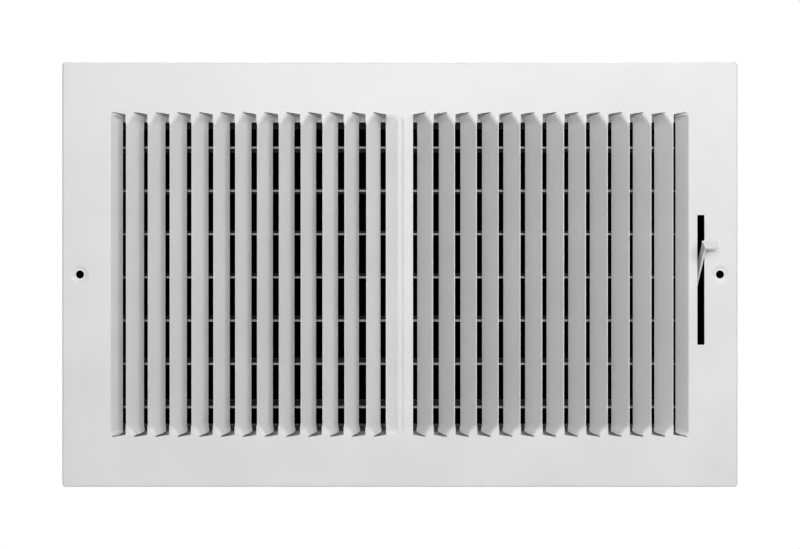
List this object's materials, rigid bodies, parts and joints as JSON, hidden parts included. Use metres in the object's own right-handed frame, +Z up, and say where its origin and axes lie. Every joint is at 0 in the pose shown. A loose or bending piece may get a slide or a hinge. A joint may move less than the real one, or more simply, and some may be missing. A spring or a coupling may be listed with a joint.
{
  "type": "vent register",
  "caption": "Rectangular steel wall register with two banks of louvre fins throwing air both ways and a lever-worked damper of linked blades behind the face.",
  "frame": {"origin": "centre of the wall plane, which the rear rim of the face's turned-back edge rests on", "axes": "+X to the right of someone facing the register, +Y into the wall, +Z up"},
  "size_m": [0.3938, 0.0527, 0.2476],
  "materials": {
    "white_enamel": "smooth baked white enamel",
    "damper_paint": "thin white enamel on galvanised sheet",
    "zinc_steel": "dull zinc plate"
  },
  "bodies": {
    "frame": {"face_plate": "white_enamel", "top_rail": "damper_paint", "bottom_rail": "damper_paint", "left_end_plate": "damper_paint", "right_end_plate": "damper_paint", "frame_rivets": "zinc_steel"},
    "blade_1": {"blade_1": "damper_paint"},
    "blade_2": {"blade_2": "damper_paint"},
    "blade_3": {"blade_3": "damper_paint"},
    "blade_4": {"blade_4": "damper_paint"},
    "blade_5": {"blade_5": "damper_paint", "lever": "white_enamel", "lever_spacer": "zinc_steel", "lever_retainer": "zinc_steel"},
    "blade_6": {"blade_6": "damper_paint"},
    "blade_7": {"blade_7": "damper_paint"},
    "link": {"link_bar": "damper_paint", "link_rivets": "zinc_steel"}
  },
  "joints": [
    {"name": "lever_swing", "type": "hinge", "parent": "frame", "child": "blade_5", "pos_m": [0, 0.02065, -0.02722], "axis": [1, 0, 0], "range_deg": [-3, 73]},
    {"name": "blade_1_turn", "type": "hinge", "parent": "frame", "child": "blade_1", "pos_m": [0, 0.02065, 0.07566], "axis": [1, 0, 0], "range_deg": [-3, 73]},
    {"name": "blade_2_turn", "type": "hinge", "parent": "frame", "child": "blade_2", "pos_m": [0, 0.02065, 0.04994], "axis": [1, 0, 0], "range_deg": [-3, 73]},
    {"name": "blade_3_turn", "type": "hinge", "parent": "frame", "child": "blade_3", "pos_m": [0, 0.02065, 0.02422], "axis": [1, 0, 0], "range_deg": [-3, 73]},
    {"name": "blade_4_turn", "type": "hinge", "parent": "frame", "child": "blade_4", "pos_m": [0, 0.02065, -0.0015], "axis": [1, 0, 0], "range_deg": [-3, 73]},
    {"name": "blade_6_turn", "type": "hinge", "parent": "frame", "child": "blade_6", "pos_m": [0, 0.02065, -0.05294], "axis": [1, 0, 0], "range_deg": [-3, 73]},
    {"name": "blade_7_turn", "type": "hinge", "parent": "frame", "child": "blade_7", "pos_m": [0, 0.02065, -0.07866], "axis": [1, 0, 0], "range_deg": [-3, 73]},
    {"name": "link_turn", "type": "hinge", "parent": "blade_5", "child": "link", "pos_m": [0, 0.02998, -0.03305], "axis": [1, 0, 0], "range_deg": [-73, 3]}
  ],
  "couplings": [
    {"joint": "blade_1_turn", "follows": "lever_swing", "ratio": 1},
    {"joint": "blade_2_turn", "follows": "lever_swing", "ratio": 1},
    {"joint": "blade_3_turn", "follows": "lever_swing", "ratio": 1},
    {"joint": "blade_4_turn", "follows": "lever_swing", "ratio": 1},
    {"joint": "blade_6_turn", "follows": "lever_swing", "ratio": 1},
    {"joint": "blade_7_turn", "follows": "lever_swing", "ratio": 1},
    {"joint": "link_turn", "follows": "lever_swing", "ratio": -1}
  ]
}
